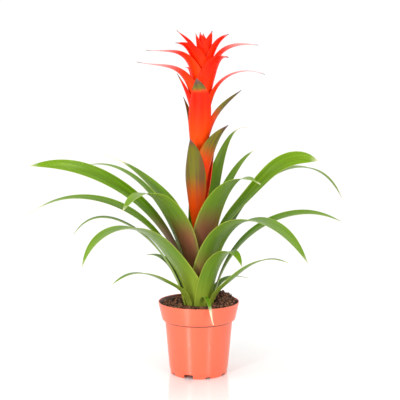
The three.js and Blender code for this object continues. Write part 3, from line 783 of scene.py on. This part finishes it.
def scatter(dice, count, make):
    """Points and faces of many small pieces laid on the peat."""
    points, faces = [], []
    for _ in range(count):
        radius = math.sqrt(dice.uniform((PIT_RADIUS - 1) ** 2, (SOIL_EDGE - 0.8) ** 2))
        turn = dice.uniform(0, 2 * math.pi)
        x, y = radius * math.cos(turn), radius * math.sin(turn)
        new_points, new_faces = make(dice, np.array([x, y, soil_height(x, y)]))
        start = len(points)
        points.extend(new_points)
        faces.extend([[start + i for i in face] for face in new_faces])
    return np.array(points) * MM, faces


BALL_POINTS = [(0, 0, 1), (0, 0, -1), (1, 0, 0), (-1, 0, 0), (0, 1, 0), (0, -1, 0)]
BALL_FACES = [(0, 2, 4), (0, 4, 3), (0, 3, 5), (0, 5, 2), (1, 4, 2), (1, 3, 4), (1, 5, 3), (1, 2, 5)]


def ball():
    """A small ball of 18 points, one split of an octahedron."""
    points = [Vector(p) for p in BALL_POINTS]
    known, faces = {}, []

    def between(a, b):
        key = (min(a, b), max(a, b))
        if key not in known:
            known[key] = len(points)
            points.append((points[a] + points[b]).normalized())
        return known[key]

    for a, b, c in BALL_FACES:
        d, e, f = between(a, b), between(b, c), between(c, a)
        faces += [(a, d, f), (d, b, e), (f, e, c), (d, e, f)]
    return np.array([tuple(p) for p in points]), faces


CRUMB_POINTS, CRUMB_FACES = ball()
SMALLEST_CRUMB = 0.45
CRUMB_RANGE = 1.5
FIBRE_LENGTHS = (3, 10)
FIBRE_RADII = (0.12, 0.32)
FIBRE_SIDES = 5
FIBRE_CUTS = 6


def crumb(dice, place):
    """An irregular crumb, half sunk in the peat. Most are small."""
    size = SMALLEST_CRUMB + CRUMB_RANGE * dice.random() ** 3
    stretch = np.array([dice.uniform(0.7, 1.3) for _ in range(3)]) * size
    knobbly = np.array([dice.uniform(0.72, 1.2) for _ in CRUMB_POINTS])[:, None]
    turn = dice.uniform(0, 2 * math.pi)
    spin = np.array([[math.cos(turn), -math.sin(turn), 0], [math.sin(turn), math.cos(turn), 0], [0, 0, 1]])
    return (CRUMB_POINTS * knobbly * stretch) @ spin + place + (0, 0, 0.3 * size), CRUMB_FACES


def fibre(dice, place):
    """A short bent fibre that lies on the peat."""
    length, radius = dice.uniform(*FIBRE_LENGTHS), dice.uniform(*FIBRE_RADII)
    turn, bend, rise = dice.uniform(0, 2 * math.pi), dice.uniform(-1.2, 1.2), dice.uniform(-0.1, 0.35)
    points = []
    for i in range(FIBRE_CUTS + 1):
        t = i / FIBRE_CUTS - 0.5
        heading = turn + bend * t
        middle = place + (t * length * math.cos(heading), t * length * math.sin(heading),
                          0.4 + rise * length * abs(t) + radius)
        out = np.array([-math.sin(heading), math.cos(heading), 0])
        thick = radius * (1 - 0.7 * abs(2 * t) ** 3)
        for k in range(FIBRE_SIDES):
            a = 2 * math.pi * k / FIBRE_SIDES
            points.append(middle + out * thick * math.cos(a) + np.array([0, 0, thick * math.sin(a)]))
    rings = np.arange(len(points)).reshape(-1, FIBRE_SIDES)
    faces = []
    for ring, beyond in zip(rings[:-1].tolist(), rings[1:].tolist()):
        for k in range(FIBRE_SIDES):
            n = (k + 1) % FIBRE_SIDES
            faces.append([ring[k], ring[n], beyond[n], beyond[k]])
    return points, [*faces, rings[0, ::-1].tolist(), rings[-1].tolist()]


class BROMELIAD_OT_stalk(bpy.types.Operator):
    """Grows the flower stalk inside the rosette"""
    bl_idname = "bromeliad.stalk"
    bl_label = "Stalk"

    def execute(self, context):
        heights = np.linspace(STALK_FOOT, STALK_TOP, STALK_RINGS)
        profile = [(0, STALK_FOOT), *((stalk_radius(h), h) for h in heights), (0, STALK_TOP)]
        points, faces = turned(profile, round_angles(12))
        points[:, 0] += lean_at(points[:, 2])
        stalk = new_piece("flower_stalk", points * MM, faces, stalk_material(), "stalk")
        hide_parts("stalk")
        return {"FINISHED"}


def stalk_radius(height):
    t = (height - STALK_FOOT) / (STALK_TOP - STALK_FOOT)
    return STALK_FOOT_RADIUS + (STALK_TOP_RADIUS - STALK_FOOT_RADIUS) * t


class BROMELIAD_OT_leaves(bpy.types.Operator):
    """Grows the rosette's strap leaves, each a piece of its own"""
    bl_idname = "bromeliad.leaves"
    bl_label = "Leaves"

    def execute(self, context):
        settings = context.scene.bromeliad_leaf
        skin = leaf_material(settings)
        for number, row in enumerate(LEAVES, 1):
            radius = INNER_RING_RADIUS + RING_STEP * row["ring"]
            blade = dict(LEAF_SHAPE, **row, radius=radius, height=LEAF_FOOT_HEIGHT)
            name = f"strap_leaf_{number:02d}"
            leaf = make_blade(name, blade, settings.thickness, skin, "leaf", number)
            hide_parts(f"leaf_{number:02d}")
        return {"FINISHED"}


class BROMELIAD_OT_bracts(bpy.types.Operator):
    """Grows the bracts up the stalk, each a piece of its own"""
    bl_idname = "bromeliad.bracts"
    bl_label = "Bracts"

    def execute(self, context):
        settings = context.scene.bromeliad_bract
        skin = bract_material(settings)
        for number, row in enumerate(BRACTS, 1):
            radius = stalk_radius(row["height"]) + BRACT_STAND_OFF
            blade = dict(BRACT_SHAPE, **row, radius=radius)
            name = f"red_bract_{number:02d}"
            bract = make_blade(name, blade, settings.thickness, skin, "bract", 40 + number)
            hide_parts(f"bract_{number:02d}")
        grow_crown(settings, skin)
        return {"FINISHED"}


BUD_GAP = 0.35
BUD_LENGTH = 53
BUD_FOOT_RADIUS = 3.2
BUD_SWELL = 2.6
# Where on a bract's length the bud takes its colour from.
BUD_GROWTH = 0.6


def grow_crown(settings, skin):
    """The bud at the top of the stalk and the young bracts that grow from it."""
    heights = np.linspace(0, 1, 20)
    swell = np.sin(np.pi * np.clip(heights, 0.02, 0.985) ** 0.62)
    radii = BUD_FOOT_RADIUS * (1 - heights) + BUD_SWELL * swell
    levels = STALK_TOP + BUD_GAP + BUD_LENGTH * heights
    profile = [(0, levels[0]), *zip(radii, levels), (0, levels[-1] + 0.3)]
    points, faces = turned(profile, round_angles(15))
    points[:, 0] += lean_at(points[:, 2])
    bud = new_piece("crown_bud", points * MM, faces, skin, "bract")
    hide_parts("crown")
    add_values(bud, "growth", np.full(len(points), BUD_GROWTH))
    for number, row in enumerate(CROWN_BRACTS, 1):
        blade = dict(CROWN_SHAPE, **row, radius=STALK_TOP_RADIUS - CROWN_ROOT)
        name = f"crown_bract_{number}"
        make_blade(name, blade, settings.thickness, skin, "bract", 70 + number, CROWN_STEPS)


# ---- the stage: metres, the camera's pitch in degrees and its sensor in millimetres ----
FLOOR_REACH = 30
LIGHTS_AIM = (0, 0, 0.2)
RIGHT_SHARE = 0.55
CAMERA_PLACE = (0.0019, -1.1, 0.34)
CAMERA_PITCH_DOWN = 4.4
SENSOR_WIDTH = 36


class BROMELIAD_OT_stage(bpy.types.Operator):
    """Sets the pale floor, the studio lights and the camera"""
    bl_idname = "bromeliad.stage"
    bl_label = "Stage"

    def execute(self, context):
        settings = context.scene.bromeliad_stage
        make_floor(settings)
        make_lights(settings)
        make_camera(settings)
        context.scene.view_settings.view_transform = "Standard"
        return {"FINISHED"}


def make_floor(settings):
    """A glossy white floor."""
    mesh = bpy.data.meshes.new("studio_floor")
    corners = [(x * FLOOR_REACH, y * FLOOR_REACH, 0) for x, y in ((-1, -1), (1, -1), (1, 1), (-1, 1))]
    mesh.from_pydata(corners, [], [(0, 1, 2, 3)])
    material, _, shader = plain_material("studio_floor")
    shader.inputs["Base Color"].default_value = (*settings.floor, 1)
    shader.inputs["Roughness"].default_value = 0.06
    shader.inputs["Specular IOR Level"].default_value = 1
    shader.inputs["IOR"].default_value = 1.8
    mesh.materials.append(material)
    floor = bpy.data.objects.new("studio_floor", mesh)
    bpy.context.scene.collection.objects.link(floor)


def make_lights(settings):
    """A white room with a narrow strip light on each side in front and a soft box above."""
    world = bpy.data.worlds.new("white_room")
    bpy.context.scene.world = world
    world.use_nodes = True
    white = world.node_tree.nodes["Background"]
    white.inputs["Color"].default_value = (1, 1, 1, 1)
    white.inputs["Strength"].default_value = settings.sky
    lights = [
        ("left_strip", (-0.85, -1.25, 0.4), (0.1, 1.2), settings.key),
        ("right_strip", (0.9, -1.2, 0.4), (0.07, 1.2), RIGHT_SHARE * settings.key),
        ("top_box", (-0.5, -0.3, 1.5), (0.45, 0.45), settings.top),
    ]
    for name, place, (width, height), power in lights:
        light = bpy.data.lights.new(name, "AREA")
        light.shape = "RECTANGLE"
        light.size, light.size_y, light.energy = width, height, power
        lamp = bpy.data.objects.new(name, light)
        lamp.location = place
        lamp.rotation_euler = (Vector(LIGHTS_AIM) - Vector(place)).to_track_quat("-Z", "Y").to_euler()
        bpy.context.scene.collection.objects.link(lamp)


def make_camera(settings):
    camera = bpy.data.cameras.new("studio_camera")
    camera.lens = settings.lens
    camera.sensor_width = SENSOR_WIDTH
    stand = bpy.data.objects.new("studio_camera", camera)
    stand.location = CAMERA_PLACE
    stand.rotation_euler = (math.radians(90 - CAMERA_PITCH_DOWN), 0, 0)
    bpy.context.scene.collection.objects.link(stand)
    bpy.context.scene.camera = stand


class BROMELIAD_PT_panel(bpy.types.Panel):
    """Lists the pieces of the potted bromeliad"""
    bl_idname = "BROMELIAD_PT_panel"
    bl_label = "Potted bromeliad"
    bl_space_type = "VIEW_3D"
    bl_region_type = "UI"
    bl_category = "Bromeliad"

    def draw(self, context):
        for name, operator in OPERATORS:
            box = self.layout.box()
            box.operator(operator.bl_idname)
            settings = getattr(context.scene, "bromeliad_" + name, None)
            for key in getattr(settings, "__annotations__", ()):
                box.prop(settings, key)


OPERATORS = [
    ("stage", BROMELIAD_OT_stage),
    ("pot", BROMELIAD_OT_pot),
    ("soil", BROMELIAD_OT_soil),
    ("stalk", BROMELIAD_OT_stalk),
    ("leaf", BROMELIAD_OT_leaves),
    ("bract", BROMELIAD_OT_bracts),
]
SETTINGS = [
    ("pot", PotSettings),
    ("soil", SoilSettings),
    ("leaf", LeafSettings),
    ("bract", BractSettings),
    ("stage", StageSettings),
]


def register():
    for _, kind in [*SETTINGS, *OPERATORS]:
        bpy.utils.register_class(kind)
    bpy.utils.register_class(BROMELIAD_PT_panel)
    for name, kind in SETTINGS:
        setattr(bpy.types.Scene, "bromeliad_" + name, bpy.props.PointerProperty(type=kind))


def unregister():
    for name, _ in SETTINGS:
        delattr(bpy.types.Scene, "bromeliad_" + name)
    bpy.utils.unregister_class(BROMELIAD_PT_panel)
    for _, kind in reversed([*SETTINGS, *OPERATORS]):
        bpy.utils.unregister_class(kind)


def main():
    register()
    bpy.ops.bromeliad.stage()
    bpy.ops.bromeliad.pot()
    bpy.ops.bromeliad.soil()
    bpy.ops.bromeliad.stalk()
    bpy.ops.bromeliad.leaves()
    bpy.ops.bromeliad.bracts()


if __name__ == "__main__":
    main()
